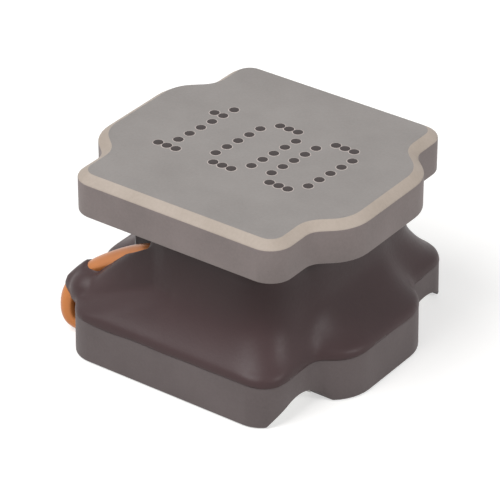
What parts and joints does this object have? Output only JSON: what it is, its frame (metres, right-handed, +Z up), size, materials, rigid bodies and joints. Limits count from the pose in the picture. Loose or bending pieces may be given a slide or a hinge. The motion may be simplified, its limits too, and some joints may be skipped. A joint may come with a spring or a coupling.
{
  "type": "power inductor",
  "caption": "Square semi-shielded inductor for surface mounting: ferrite drum core, copper winding in magnetic resin, two soldered terminals underneath.",
  "frame": {"origin": "middle of the seating plane under the lower flange, which is the lowest point of the terminals", "axes": "+X along the wire grooves and the straight sides, from the leads' end to the plain end; +Z up through the post"},
  "size_m": [0.006, 0.006, 0.0038],
  "materials": {
    "ferrite": "ground",
    "enamelled_copper": "enamelled",
    "magnetic_resin": "cast",
    "plating": "plated",
    "solder": "reflowed"
  },
  "bodies": {
    "root": {"drum_core": "ferrite", "winding": "enamelled_copper", "resin_coat": "magnetic_resin", "terminal_start": "plating", "terminal_finish": "plating", "solder_start": "solder", "solder_finish": "solder"}
  },
  "joints": []
}
